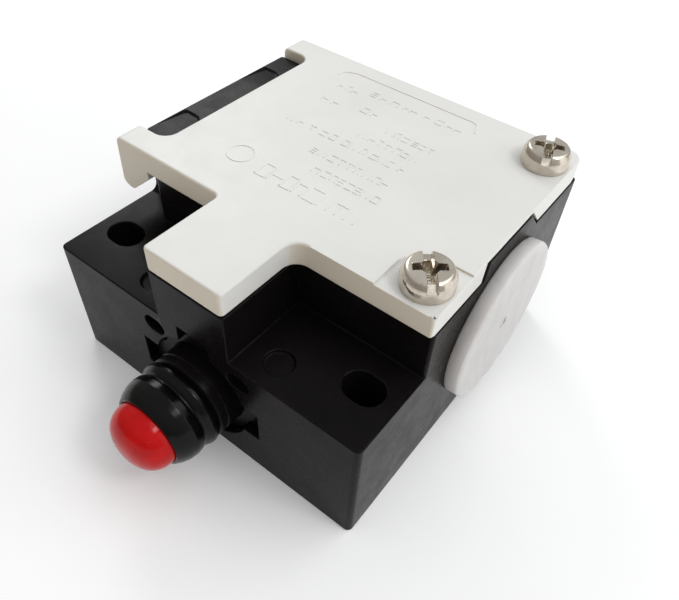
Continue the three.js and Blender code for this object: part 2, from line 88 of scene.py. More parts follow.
# The inputs and the output of a Mix node for colours, which share their names with those of its other types.
MIX_A, MIX_B, MIX_RESULT = 6, 7, 2


class Graph:
    """A material's node tree with short calls for the nodes that every finish uses."""

    def __init__(self, name):
        self.material = bpy.data.materials.new(name)
        self.material.use_nodes = True
        self.nodes = self.material.node_tree.nodes
        self.shader = self.nodes["Principled BSDF"]
        self.place = self.nodes.new("ShaderNodeTexCoord").outputs["Object"]

    def link(self, source, target):
        self.material.node_tree.links.new(source, target)

    def set(self, **values):
        for socket, value in values.items():
            self.shader.inputs[socket.replace("_", " ")].default_value = value

    def stretched(self, scale):
        mapping = self.nodes.new("ShaderNodeMapping")
        mapping.inputs["Scale"].default_value = scale
        self.link(self.place, mapping.inputs["Vector"])
        return mapping.outputs["Vector"]

    def noise(self, size, detail=3.0, rough=0.55, stretch=None, distortion=0.0):
        """Noise whose lumps are about size metres across."""
        texture = self.nodes.new("ShaderNodeTexNoise")
        texture.inputs["Scale"].default_value = 1 / size
        texture.inputs["Detail"].default_value = detail
        texture.inputs["Roughness"].default_value = rough
        texture.inputs["Distortion"].default_value = distortion
        self.link(self.stretched(stretch) if stretch else self.place, texture.inputs["Vector"])
        return texture.outputs["Fac"]

    def cells(self, size):
        texture = self.nodes.new("ShaderNodeTexVoronoi")
        texture.inputs["Scale"].default_value = 1 / size
        self.link(self.place, texture.inputs["Vector"])
        return texture.outputs["Distance"]

    def ramp(self, source, low, high, a=0.0, b=1.0):
        """source from low to high becomes a to b, clamped."""
        remap = self.nodes.new("ShaderNodeMapRange")
        for socket, value in zip(("From Min", "From Max", "To Min", "To Max"), (low, high, a, b)):
            remap.inputs[socket].default_value = value
        self.link(source, remap.inputs["Value"])
        return remap.outputs["Result"]

    def math(self, operation, a, b):
        node = self.nodes.new("ShaderNodeMath")
        node.operation = operation
        for socket, value in zip(node.inputs, (a, b)):
            if isinstance(value, (int, float)):
                socket.default_value = value
            else:
                self.link(value, socket)
        return node.outputs["Value"]

    def mix(self, factor, a, b):
        """Colour a where factor is 0 and b where it is 1."""
        node = self.nodes.new("ShaderNodeMix")
        node.data_type = "RGBA"
        self.link(factor, node.inputs["Factor"])
        for socket, value in zip((node.inputs[MIX_A], node.inputs[MIX_B]), (a, b)):
            if isinstance(value, tuple):
                socket.default_value = (*value, 1)
            else:
                self.link(value, socket)
        return node.outputs[MIX_RESULT]

    def edges(self, reach, low, high):
        """1 on convex and concave edges within reach, 0 on open faces."""
        bevel = self.nodes.new("ShaderNodeBevel")
        bevel.samples = EDGE_SAMPLES
        bevel.inputs["Radius"].default_value = reach
        flat = self.nodes.new("ShaderNodeNewGeometry")
        dot = self.nodes.new("ShaderNodeVectorMath")
        dot.operation = "DOT_PRODUCT"
        self.link(bevel.outputs["Normal"], dot.inputs[0])
        self.link(flat.outputs["Normal"], dot.inputs[1])
        return self.ramp(dot.outputs["Value"], 1 - low, 1 - high)

    def toward(self, direction, low, high):
        """1 on faces turned toward direction, 0 on the rest."""
        dot = self.nodes.new("ShaderNodeVectorMath")
        dot.operation = "DOT_PRODUCT"
        dot.inputs[1].default_value = direction
        self.link(self.nodes.new("ShaderNodeNewGeometry").outputs["Normal"], dot.inputs[0])
        return self.ramp(dot.outputs["Value"], low, high)

    def bump(self, height, depth, strength=1.0, under=None):
        node = self.nodes.new("ShaderNodeBump")
        node.inputs["Strength"].default_value = strength
        node.inputs["Distance"].default_value = depth
        self.link(height, node.inputs["Height"])
        if under:
            self.link(under, node.inputs["Normal"])
        return node.outputs["Normal"]

    def finish(self, colour, roughness, normal):
        self.link(colour, self.shader.inputs["Base Color"])
        self.link(roughness, self.shader.inputs["Roughness"])
        self.link(normal, self.shader.inputs["Normal"])
        return self.material


def moulded(name, light, dark, roughness, depth=0.012 * MM, wear=None, scuffs=0.0, front_shade=None, **settings):
    """Moulded plastic: slow mottling, a fine eroded grain of the given depth and shallow sink marks. Its edges may be
    worn and its surface scuffed, and its faces toward -Y are darker and warmer as painted shade."""
    g = Graph(name)
    g.set(**settings)
    slow = g.ramp(g.noise(14 * MM, 4, 0.6), 0.35, 0.68)
    colour = g.mix(slow, light, dark)
    specks = g.ramp(g.noise(0.5 * MM, 2), 0.62, 0.78)
    colour = g.mix(g.math("MULTIPLY", specks, 0.35), colour, dark)
    rough = g.ramp(g.noise(5 * MM, 5, 0.65), 0.3, 0.7, roughness - 0.06, roughness + 0.07)
    if scuffs:
        streaks = g.ramp(g.noise(1.6 * MM, 6, 0.7, stretch=(1, 0.12, 1), distortion=0.6), 0.64, 0.74)
        rough = g.math("ADD", rough, g.math("MULTIPLY", streaks, scuffs))
    if wear:
        patchy = g.math("MULTIPLY", g.edges(0.45 * MM, 0.02, 0.16), g.ramp(g.noise(1.2 * MM, 5), 0.4, 0.62))
        colour = g.mix(patchy, colour, wear)
    # Painted shade: faces toward -Y are darkened and warmed in the colour, standing in for the warm shade on that
    # side.
    if front_shade:
        colour = g.mix(g.toward((0, -1, 0), 0.3, 0.8), colour, front_shade)
    sink = g.bump(g.noise(9 * MM, 2), 0.05 * MM, 0.5)
    normal = g.bump(g.noise(0.22 * MM, 2, 0.6), depth, 1.0, sink)
    return g.finish(colour, rough, normal)


def metal(name, light, dark, roughness, stretch=(1, 1, 1)):
    """Plated or drawn metal: faint cloudy tone, darker along edges and in crevices, fine lines and small pits."""
    g = Graph(name)
    g.set(Metallic=1.0)
    colour = g.mix(g.ramp(g.noise(2.2 * MM, 5, 0.65), 0.35, 0.7), light, dark)
    # Darkens the colour within 0.25 mm of convex and concave edges.
    edge_dark = g.edges(0.25 * MM, 0.10, 0.5)
    colour = g.mix(g.math("MULTIPLY", edge_dark, 0.6), colour, tuple(0.3 * c for c in dark))
    lines = g.noise(0.25 * MM, 4, 0.6, stretch=stretch)
    rough = g.ramp(g.noise(1.1 * MM, 4), 0.3, 0.7, roughness - 0.05, roughness + 0.09)
    pits = g.bump(g.ramp(g.cells(0.45 * MM), 0.0, 0.16), 0.004 * MM, 0.5)
    return g.finish(colour, rough, g.bump(lines, 0.004 * MM, 0.7, pits))


def rubber(name, light, dark, roughness):
    """Moulded rubber: a soft sheen, faint bloom and a fine pebbled skin."""
    g = Graph(name)
    g.set(Specular_IOR_Level=0.16)
    bloom = g.ramp(g.noise(2.5 * MM, 5, 0.65), 0.45, 0.75)
    colour = g.mix(bloom, dark, light)
    rough = g.ramp(g.noise(1.5 * MM, 4), 0.3, 0.7, roughness - 0.05, roughness + 0.1)
    return g.finish(colour, rough, g.bump(g.noise(0.16 * MM, 3), 0.008 * MM, 0.8))


def glossy_red():
    """Hard gloss plastic of the plunger tip, with hairline rubs on its dome."""
    g = Graph("plunger_red")
    g.set(Specular_IOR_Level=0.17)
    colour = g.mix(g.ramp(g.noise(3 * MM, 4), 0.35, 0.7), (0.55, 0.0040, 0.0045), (0.42, 0.0026, 0.0033))
    rubs = g.ramp(g.noise(1.4 * MM, 6, 0.7, stretch=(0.25, 1, 1), distortion=0.8), 0.6, 0.72)
    colour = g.mix(g.math("MULTIPLY", rubs, 0.08), colour, (0.80, 0.06, 0.05))
    rough = g.math("ADD", g.ramp(g.noise(1 * MM, 4), 0.3, 0.7, 0.12, 0.17), g.math("MULTIPLY", rubs, 0.2))
    return g.finish(colour, rough, g.bump(g.noise(0.5 * MM, 3), 0.006 * MM, 0.6))


def milky_white():
    """Soft translucent plastic of the entry cap: cloudy flow bands and a waxy surface."""
    g = Graph("cap_white")
    g.set(Subsurface_Weight=0.85, Subsurface_Scale=7.0 * MM, IOR=1.5)
    g.shader.inputs["Subsurface Radius"].default_value = (1.0, 0.9, 0.85)
    flow = g.noise(9 * MM, 4, 0.6, stretch=(1, 1.6, 0.7), distortion=1.2)
    colour = g.mix(g.ramp(flow, 0.38, 0.68), (0.590, 0.578, 0.565), (0.530, 0.518, 0.508))
    streaks = g.ramp(g.noise(1.2 * MM, 6, 0.7, stretch=(1, 1, 0.2)), 0.6, 0.75)
    colour = g.mix(g.math("MULTIPLY", streaks, 0.25), colour, (0.74, 0.725, 0.72))
    rough = g.ramp(g.noise(2.5 * MM, 5, 0.6), 0.3, 0.7, 0.40, 0.55)
    waves = g.bump(g.noise(4 * MM, 3), 0.06 * MM, 0.5)
    return g.finish(colour, rough, g.bump(g.noise(0.2 * MM, 3), 0.006 * MM, 0.8, waves))


MATERIALS = {
    "plastic_black": moulded("housing_black", (0.0072, 0.0060, 0.0060), (0.0045, 0.0037, 0.0037), 0.27,
                             wear=(0.022, 0.020, 0.019), scuffs=0.10, Specular_IOR_Level=0.06),
    "rubber_black": rubber("boot_rubber", (0.0040, 0.0040, 0.0042), (0.0022, 0.0022, 0.0022), 0.15),
    # The cover's faces toward -Y get a painted warm shade.
    "plastic_grey": moulded("cover_grey", (0.770, 0.765, 0.735), (0.735, 0.730, 0.700), 0.46,
                            depth=0.010 * MM, wear=(0.80, 0.80, 0.77), scuffs=0.06, front_shade=(0.67, 0.605, 0.490)),
    "plastic_white": milky_white(),
    "plastic_red": glossy_red(),
    "plastic_cream": moulded("block_cream", (0.66, 0.60, 0.44), (0.58, 0.52, 0.37), 0.45),
    "plastic_brown": moulded("block_brown", (0.13, 0.065, 0.035), (0.09, 0.045, 0.025), 0.42),
    "nickel": metal("nickel_plate", (0.66, 0.605, 0.52), (0.50, 0.45, 0.375), 0.20),
    "brass": metal("brass", (0.66, 0.48, 0.22), (0.52, 0.36, 0.15), 0.28, stretch=(1, 0.15, 1)),
    "spring_steel": metal("spring_steel", (0.52, 0.52, 0.53), (0.38, 0.38, 0.39), 0.25, stretch=(0.2, 1, 1)),
    "steel": metal("ground_steel", (0.60, 0.60, 0.61), (0.46, 0.46, 0.47), 0.22, stretch=(0.3, 1, 0.3)),
    "silver": metal("silver_contact", (0.74, 0.72, 0.68), (0.58, 0.56, 0.52), 0.26, stretch=(0.2, 1, 1)),
}


# ---- Meshes.
def smoothed(mesh, angle=SMOOTH_ANGLE):
    mesh.polygons.foreach_set("use_smooth", [True] * len(mesh.polygons))
    mesh.set_sharp_from_angle(angle=angle)
    return mesh


def mesh_of(work, name):
    bmesh.ops.recalc_face_normals(work, faces=work.faces)
    mesh = bpy.data.meshes.new(name)
    work.to_mesh(mesh)
    work.free()
    return smoothed(mesh)


def piece(name, mesh, slot, body, *replaced):
    item = bpy.data.objects.new(name, mesh)
    bpy.context.scene.collection.objects.link(item)
    mesh.materials.clear()
    mesh.materials.append(MATERIALS[slot])
    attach(item, body)
    if replaced:
        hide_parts(*replaced)
    return item


def stand_in(node, mesh):
    """A detailed piece that stands for one CAD node, on its body and with its finish."""
    return piece(node + "_detail", mesh, SLOT[node], BODY[node], node)


def rounded(points, steps=5):
    """A path through [a, b] corners, with an arc at each corner that has a third number, its radius."""
    path = []
    for i, (a, b, *radius) in enumerate(points):
        here = Vector((a, b))
        if not radius or i in (0, len(points) - 1):
            path.append(here)
            continue
        back = (Vector(points[i - 1][:2]) - here).normalized()
        on = (Vector(points[i + 1][:2]) - here).normalized()
        half = back.angle(on) / 2
        centre = here + (back + on).normalized() * radius[0] / math.sin(half)
        first = here + back * radius[0] / math.tan(half) - centre
        last = here + on * radius[0] / math.tan(half) - centre
        turn = first.angle_signed(last)
        for k in range(steps + 1):
            angle = -turn * k / steps
            cosine, sine = math.cos(angle), math.sin(angle)
            path.append(centre + Vector((first.x * cosine - first.y * sine, first.x * sine + first.y * cosine)))
    return [(p.x, p.y) for p in path]


def on_axis(axis, centre, radius, along, angle):
    """The point at radius and angle round the line through centre, at the coordinate along on it."""
    u, v = radius * math.cos(angle), radius * math.sin(angle)
    if axis == "x":
        return Vector((along, centre.y + u, centre.z + v))
    if axis == "y":
        return Vector((centre.x + u, along, centre.z + v))
    return Vector((centre.x + u, centre.y + v, along))


def spun(name, profile, axis, centre, segments=96, ripple=None):
    """A body turned about axis. Its profile of (radius, place on the axis) starts and ends on the axis, or closes on
    itself. ripple adds to the radius."""
    work = bmesh.new()
    closed = profile[0] == profile[-1] and profile[0][0] > 0
    rings = []
    for radius, along in profile[:-1] if closed else profile:
        if radius <= 1e-9:
            rings.append([work.verts.new(on_axis(axis, centre, 0, along, 0))])
            continue
        ring = []
        for k in range(segments):
            angle = 2 * math.pi * k / segments
            reach = radius + (ripple(radius, along, angle) if ripple else 0)
            ring.append(work.verts.new(on_axis(axis, centre, reach, along, angle)))
        rings.append(ring)
    pairs = list(zip(rings, rings[1:])) + ([(rings[-1], rings[0])] if closed else [])
    for low, high in pairs:
        for k in range(segments):
            corners = [low[k % len(low)], low[(k + 1) % len(low)], high[(k + 1) % len(high)], high[k % len(high)]]
            work.faces.new(list(dict.fromkeys(corners)))
    return mesh_of(work, name)


def carved(mesh, cutters):
    """mesh less each cutter, with the cutters used up."""
    body = bpy.data.objects.new("carve_body", mesh)
    bpy.context.scene.collection.objects.link(body)
    tools = []
    for cutter in cutters:
        tool = bpy.data.objects.new("carve_tool", cutter)
        bpy.context.scene.collection.objects.link(tool)
        tools.append(tool)
        modifier = body.modifiers.new("carve", "BOOLEAN")
        modifier.operation, modifier.object, modifier.solver = "DIFFERENCE", tool, "EXACT"
    graph = bpy.context.evaluated_depsgraph_get()
    result = bpy.data.meshes.new_from_object(body.evaluated_get(graph))
    for item in (body, *tools):
        bpy.data.objects.remove(item)
    return smoothed(result)


def softened(item, width, segments=2, angle=40):
    """Rounds the sharp edges of a piece by modifiers, so its own mesh stays as it is."""
    bevel = item.modifiers.new("bevel", "BEVEL")
    bevel.width, bevel.segments = width, segments
    bevel.limit_method, bevel.angle_limit = "ANGLE", math.radians(angle)
    bevel.use_clamp_overlap = False
    return shaded(item)


def shaded(item):
    """Keeps flat faces flat in the shading, next to their rounded edges."""
    normals = item.modifiers.new("normals", "WEIGHTED_NORMAL")
    normals.keep_sharp = True
    return item


def finish_node(node, width):
    """A CAD node shown as it is: welded, flat faces merged, edges rounded, and its finish on."""
    item = NODES[node]
    weld = item.modifiers.new("weld", "WELD")
    weld.merge_threshold = WELD
    flat = item.modifiers.new("flat", "DECIMATE")
    flat.decimate_type, flat.angle_limit = "DISSOLVE", FLAT_ANGLE
    softened(item, width)
    item.data.polygons.foreach_set("use_smooth", [True] * len(item.data.polygons))
    item.data.materials.clear()
    item.data.materials.append(MATERIALS[SLOT[node]])
    return item


def refined(node, *passes, sharp=30):
    """A copy of a CAD node with its flat faces merged and its sharp edges rounded, pass by pass. A vertex that lands
    off the node's own surface goes back onto it, and a face that does is left out."""
    work = bmesh.new()
    work.from_mesh(NODES[node].data)
    surface = BVHTree.FromBMesh(work)
    bmesh.ops.remove_doubles(work, verts=work.verts, dist=WELD)
    bmesh.ops.dissolve_limit(work, angle_limit=FLAT_ANGLE, verts=work.verts, edges=work.edges)
    bmesh.ops.connect_verts_concave(work, faces=work.faces)
    for width, chosen in passes:
        edges = [e for e in work.edges if e.is_manifold and e.calc_face_angle() > math.radians(sharp) and chosen(e)]
        bmesh.ops.bevel(work, geom=edges, offset=width, offset_type="OFFSET", segments=3, profile=0.5,
                        affect="EDGES", clamp_overlap=False, loop_slide=False)
    lo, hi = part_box(node)
    reach = 0.75 * max(width for width, _ in passes)
    for vertex in work.verts:
        near, _, _, distance = surface.find_nearest(vertex.co)
        if distance > reach:
            vertex.co = near
        vertex.co = Vector(min(max(c, a), b) for c, a, b in zip(vertex.co, lo, hi))
    bmesh.ops.triangulate(work, faces=[f for f in work.faces if len(f.verts) > 4])
    stray = [f for f in work.faces if surface.find_nearest(f.calc_center_median())[3] > reach]
    bmesh.ops.delete(work, geom=stray, context="FACES_ONLY")
    return mesh_of(work, node)


# ---- Housing and cover.
def housing():
    return shaded(stand_in("housing", refined("housing", (0.22 * MM, lambda edge: True))))


# Where the cover's fine edges are, in mm: the pad's sunk corner, the screw holes, the opening in the side wall and
# the inside, whose lowest rim is shared with the outside.
PAD_X, PAD_Y = 21.2, 15.8
HOLE_X, HOLES_Y, HOLE_REACH = 26.6, (10.1, 46.6), 4.9
NOTCH_X, NOTCH_Y = 29.7, (18.9, 38.9)
INSIDE_X, INSIDE_TOP, RIM = (-30.5, 30), 36.2, 33.6
COVER_SKIRT = 4.9 * MM
ON_LINE = 0.05


def cover():
    lo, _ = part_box("cover")

    def outer(edge):
        middle = (edge.verts[0].co + edge.verts[1].co) / 2
        return middle.z > lo.z + COVER_SKIRT and not detail(edge)

    def detail(edge):
        for vertex in edge.verts:
            x, y, z = vertex.co / MM
            beside_pad = abs(x - PAD_X) < ON_LINE and y < PAD_Y + 0.1
            behind_pad = abs(y - PAD_Y) < ON_LINE and x > PAD_X - 0.1
            near_hole = min(math.hypot(x - HOLE_X, y - hole) for hole in HOLES_Y) < HOLE_REACH
            near_notch = x > NOTCH_X and NOTCH_Y[0] < y < NOTCH_Y[1]
            inside = z < INSIDE_TOP and INSIDE_X[0] < x < INSIDE_X[1] and abs(z - RIM) > 0.1
            if beside_pad or behind_pad or near_hole or near_notch or inside:
                return True
        return False

    return shaded(stand_in("cover", refined("cover", (0.45 * MM, outer), (0.1 * MM, detail))))


# ---- Cover marking: plain raised strokes, a ring and a border line, where the real cover is lettered.
MARK_HEIGHT = 0.10 * MM
MARK_STROKE = 0.24 * MM
MARK_ROOT = 0.05 * MM
BOLD = 1.5
STRIP_TOP_SHARE = 0.7
# Each mark is a set of lines through points given as shares of its width and height.
MARK_SHAPES = [
    [[(0, 0), (1, 0), (1, 1), (0, 1), (0, 0)]],
    [[(0, 0), (0, 1), (1, 1), (1, 0)]],
    [[(0, 0), (0, 1)], [(1, 0), (1, 1)]],
    [[(0, 0), (1, 0)], [(0, 1), (1, 1)]],
    [[(0, 0), (0, 1)], [(0.1, 0.5), (1, 0.5)]],
    [[(0, 0), (1, 0)], [(0, 0.5), (1, 0.5)], [(0, 1), (1, 1)]],
    [[(0.5, 0), (0.5, 1)], [(0, 1), (1, 1)]],
]
# Each row: first x, last x, middle y, height of a frame, its width range and the gap range, in mm.
MARK_ROWS = [
    (-7.2, 12.1, 15.0, 3.1, (1.7, 2.5), (0.45, 0.6)),
    (-0.8, 12.4, 20.3, 1.5, (0.8, 1.4), (0.35, 1.0)),
    (-4.4, 11.2, 24.4, 1.5, (0.8, 1.3), (0.35, 0.9)),
    (-13.4, 11.4, 29.3, 1.5, (0.8, 1.3), (0.35, 1.6)),
    (-1.0, 11.4, 33.1, 1.5, (0.8, 1.3), (0.35, 0.8)),
    (2.1, 11.2, 36.9, 1.5, (0.8, 1.3), (0.35, 0.8)),
    (-5.4, -0.8, 39.7, 1.5, (0.9, 1.6), (0.5, 0.9)),
    (-13.2, -8.2, 38.2, 1.5, (0.9, 1.5), (0.5, 0.9)),
    (-13.6, -8.9, 43.8, 1.5, (0.9, 1.5), (0.5, 0.9)),
    (-7.2, 11.6, 45.2, 1.4, (0.8, 1.6), (0.5, 1.8)),
]
RING_AT, RING_RADIUS, RING_STEPS = (-12.2, 15.8), 2.25, 40
BORDER = [(-16.1, 46.6), (-15.9, 48.4, 1.4), (-13.6, 49.4, 2.0), (12.6, 49.4, 1.6), (13.6, 46.4)]


def strip(work, path, width, z0, z1, closed=False):
    """A raised line with sloping sides, along a path in X and Y."""
    count = len(path)
    rails = []
    for i, point in enumerate(path):
        before = path[i - 1] if i or closed else point
        after = path[(i + 1) % count] if i < count - 1 or closed else point
        along = (Vector(after) - Vector(before)).normalized()
        side = Vector((-along.y, along.x)) * width / 2
        section = ((1, z0), (STRIP_TOP_SHARE, z1), (-STRIP_TOP_SHARE, z1), (-1, z0))
        rails.append([work.verts.new((*(Vector(point) + side * share), z)) for share, z in section])
    for i in range(count if closed else count - 1):
        a, b = rails[i], rails[(i + 1) % count]
        for k in range(4):
            j = (k + 1) % 4
            work.faces.new((a[k], a[j], b[j], b[k]))
    if not closed:
        work.faces.new(rails[0])
        work.faces.new(rails[-1])


def marking():
    _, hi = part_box("cover")
    z0, z1 = hi.z - MARK_ROOT, hi.z + MARK_HEIGHT
    source = random.Random(7)
    work = bmesh.new()
    for first, last, middle, height, widths, gaps in MARK_ROWS:
        x = first
        while x < last - widths[0]:
            wide = min(source.uniform(*widths), last - x)
            tall = height * source.choice((1.0, 1.0, 0.8))
            top = z1 - source.uniform(0, 0.03) * MM
            for line in source.choice(MARK_SHAPES):
                path = [((x + u * wide) * MM, (middle - height / 2 + v * tall) * MM) for u, v in line]
                strip(work, path, MARK_STROKE * (BOLD if height > 2 else 1), z0, top)
            x += wide + source.uniform(*gaps)
    turns = (2 * math.pi * k / RING_STEPS for k in range(RING_STEPS))
    ring = [((RING_AT[0] + RING_RADIUS * math.cos(a)) * MM, (RING_AT[1] + RING_RADIUS * math.sin(a)) * MM)
            for a in turns]
    strip(work, ring, MARK_STROKE, z0, z1, closed=True)
    border = [(x * MM, y * MM) for x, y in rounded(BORDER)]
    strip(work, border, MARK_STROKE, z0, z1)
    return piece("cover_marking", mesh_of(work, "cover_marking"), "plastic_grey", "lid")


# ---- Screws.
def recess_tools(centre, top, radius, turn, slot_wide, slot_deep, arm_long, arm_wide, arm_deep):
    """Cutters for a slot that deepens toward both rims, and for a deeper tapered cross with a cone at its middle."""
    above = top + 1 * MM
    across = Vector((-math.sin(turn), math.cos(turn), 0))
    along = Vector((math.cos(turn), math.sin(turn), 0))
    middle = Vector((centre.x, centre.y, 0))
    tools = []

    def prism(path, u, v, half, taper=1.0):
        """The path of (distance along u, height) drawn out to half on both sides along v, and to taper times as much
        at its lowest points."""
        work = bmesh.new()
        low = min(z for _, z in path)
        sides = []
        for side in (-1, 1):
            reach = [v * side * half * (taper if z == low else 1) for _, z in path]
            sides.append([work.verts.new(middle + u * d + out + Vector((0, 0, z)))
                          for (d, z), out in zip(path, reach)])
        work.faces.new(sides[0])
        work.faces.new(list(reversed(sides[1])))
        for i in range(len(path)):
            j = (i + 1) % len(path)
            work.faces.new((sides[0][j], sides[0][i], sides[1][i], sides[1][j]))
        tools.append(mesh_of(work, "tool"))

    far, level, deep, drop = 1.3 * radius, 0.62 * radius, top - slot_deep, 0.22 * radius
    prism([(-far, above), (-far, deep - drop), (-level, deep), (level, deep), (far, deep - drop), (far, above)],
          along, across, slot_wide / 2)
    for u, v, share in ((along, across, 1.0), (across, along, 1.03)):
        half = arm_long / 2 * share
        floor = top - arm_deep * share
        prism([(-half, above), (-half * 0.8, floor), (half * 0.8, floor), (half, above)],
              u, v, arm_wide / 2 * share, 0.5)
    tip = top - arm_deep * 1.1
    cone = [(0, tip), (0.3 * arm_wide, tip), (1.15 * arm_wide, above), (0, above)]
    tools.append(spun("tool", cone, "z", middle, 20))
    return tools


# A pan head's outline: share of its radius, share of its height, rounding as a share of its radius.
PAN_HEAD = [(1, 0, 0.03), (1, 0.60, 0.45), (0.84, 0.965, 0.20), (0.35, 1.0, 0.2), (0, 1.0)]
SCREW_POINT = 0.4 * MM
SCREW_EDGE = 0.03 * MM


def screw(node, turn, head, shank, slot, arm, pitch, edge):
    """A pan head screw that fills a CAD node's box. head is its height, slot [width, depth], arm
    [length, width, depth]; the shank has a fine thread."""
    lo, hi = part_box(node)
    centre = (lo + hi) / 2
    radius = (hi.x - lo.x) / 2
    seat = hi.z - head

    def thread(r, along, angle):
        if r < shank * 0.99 or along > seat - 0.5 * MM or along < lo.z + SCREW_POINT:
            return 0.0
        turns = (along / pitch - angle / (2 * math.pi)) % 1
        return -0.3 * pitch * abs(2 * turns - 1)

    steps = max(2, round((seat - lo.z) / (pitch / 6)))
    threaded = seat - lo.z - 2 * SCREW_POINT
    flank = [(shank, lo.z + SCREW_POINT + threaded * k / steps) for k in range(steps + 1)]
    pan = [(radius * r, seat + head * z, *(radius * t for t in turned)) for r, z, *turned in PAN_HEAD]
    dome = rounded([(shank, seat), *pan], 8)
    profile = [(0, lo.z), (shank * 0.7, lo.z), *flank, *dome]
    body = spun(node, profile, "z", centre, 72, thread)
    tools = recess_tools(centre, hi.z, radius, turn, *slot, *arm)
    return softened(stand_in(node, carved(body, tools)), edge, 1, 50)


def cover_screws():
    for place, degrees in (("front", 129), ("rear", 110)):
        screw("cover_screw_" + place, math.radians(degrees), 3.3 * MM, 1.9 * MM,
              (1.45 * MM, 1.0 * MM), (5.0 * MM, 1.5 * MM, 2.2 * MM), 0.7 * MM, SCREW_EDGE)


def inner_screws():
    shanks = {f"terminal_screw_{kind}_{side}": 1.6 for kind in ("nc", "no") for side in ("left", "right")}
    shanks.update({f"block_screw_{side}": 1.3 for side in ("left", "right")})
    for node, shank in shanks.items():
        screw(node, math.radians(60), 2.0 * MM, shank * MM,
              (0.8 * MM, 0.7 * MM), (3.2 * MM, 0.7 * MM, 1.2 * MM), 0.5 * MM, SCREW_EDGE)


def inserts():
    for place in ("front", "rear"):
        node = "screw_insert_" + place
        lo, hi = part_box(node)
        outer, inner = (hi.x - lo.x) / 2, 2.15 * MM

        def knurl(r, along, angle):
            return -0.06 * MM * (1 - math.cos(30 * angle)) if r > outer * 0.98 else 0.0

        profile = [(inner, lo.z), (outer - 0.2 * MM, lo.z), (outer, lo.z + 0.2 * MM), (outer, hi.z - 0.25 * MM),
                   (outer - 0.2 * MM, hi.z), (inner + 0.2 * MM, hi.z), (inner, hi.z - 0.2 * MM), (inner, lo.z)]
        stand_in(node, spun(node, profile, "z", (lo + hi) / 2, 120, knurl))


# ---- Entry cap: a flange with a hollow sleeve, ragged moulding flash on part of its rim, and a sprue mark.
CAP_FLANGE = 2.6 * MM
CAP_EDGE = 0.45 * MM
SLEEVE_INNER, SLEEVE_OUTER = 7.6 * MM, 8.9 * MM
FLASH_FROM, FLASH_TO = math.radians(52), math.radians(98)
FLASH_TEETH = 40
FLASH_DEPTH = 0.45 * MM


def entry_cap():
    node = "entry_cap"
    lo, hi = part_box(node)
    centre = (lo + hi) / 2
    rim = (hi.z - lo.z) / 2
    seat = hi.x - CAP_FLANGE
    source = random.Random(3)
    teeth = [source.uniform(0.0, 1.0) for _ in range(FLASH_TEETH)]

    def flash(r, along, angle):
        if along < hi.x - 1.2 * MM or r < rim * 0.985 or not FLASH_FROM < angle < FLASH_TO:
            return 0.0
        share = (angle - FLASH_FROM) / (FLASH_TO - FLASH_FROM)
        ragged = teeth[int(share * (FLASH_TEETH - 1))]
        return FLASH_DEPTH * math.sin(math.pi * share) ** 0.5 * (0.4 + 0.6 * ragged)

    profile = rounded([
        (0, seat), (SLEEVE_INNER, seat, 0.2 * MM), (SLEEVE_INNER, lo.x), (SLEEVE_OUTER, lo.x, 0.3 * MM),
        (SLEEVE_OUTER + 0.05 * MM, seat, 0.2 * MM), (rim, seat, 0.2 * MM), (rim, hi.x, CAP_EDGE),
        (0.8 * rim, hi.x - 0.02 * MM), (0, hi.x - 0.12 * MM)], 6)
    stand_in(node, spun(node, profile, "x", centre, 240, flash))
    work = bmesh.new()
    for turn in (90, 205, 330):
        u, v = math.cos(math.radians(turn)), math.sin(math.radians(turn))
        path = [(centre.y + u * d * MM, centre.z + v * d * MM) for d in (0.0, 0.6, 1.1)]
        strip(work, path, 0.36 * MM, 0, 0.2 * MM)
    for vertex in work.verts:
        y, z, height = vertex.co
        vertex.co = Vector((hi.x - 0.16 * MM + height, y, z))
    piece("entry_cap_sprue", mesh_of(work, "sprue"), "plastic_white", "dust_cap")


# ---- Plunger head, all on one axis. Profiles are (radius, distance behind the front of the node), in mm.
def on_plunger(node, points, segments=128, steps=5):
    lo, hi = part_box(node)
    path = [(r * MM, lo.y + d * MM) for r, d in rounded(points, steps)]
    return stand_in(node, spun(node, path, "y", (lo + hi) / 2, segments))


def plunger_button():
    lo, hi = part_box("plunger_button")
    radius, length = (hi.x - lo.x) / 2 / MM, (hi.y - lo.y) / MM
    depth = length - 0.9
    dome = []
    for k in range(25):
        angle = math.pi / 2 * k / 24
        dome.append((radius * math.sin(angle) ** 0.85, depth * (1 - math.cos(angle) ** 0.85)))
    floor = length - 2.8
    back = [(radius, length - 0.25, 0.2), (radius - 0.25, length), (2.1, length), (2.1, floor), (0, floor)]
    return on_plunger("plunger_button", [*dome, *back])


def plunger_shaft():
    return on_plunger("plunger_shaft", [
        (0, 0), (1.8, 0), (2, 0.2), (2, 2.8), (2.8, 2.8), (3, 3.0), (3, 19, 0.1), (4.7, 19), (4.9, 19.2),
        (4.9, 20.3), (4.7, 20.5), (3, 20.5, 0.1), (3, 33.2), (2.7, 33.5), (0, 33.5)])


def gaiter():
    item = on_plunger("gaiter", [
        (6.02, 0), (6.4, 0, 0.15), (7.0, 0.9, 1.0), (7.5, 2.1, 1.5), (7.68, 3.3, 1.5), (7.55, 4.55, 0.4),
        (7.2, 4.85, 0.12), (7.2, 5.15, 0.12), (7.55, 5.5, 0.4), (7.95, 6.3, 0.8), (7.95, 7.0, 0.8),
        (7.6, 7.7, 0.2), (6.3, 7.7), (6.3, 2.6), (6.02, 1.0), (6.02, 0)], 128, 6)
    lo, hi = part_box("gaiter")
    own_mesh(item)
    return item


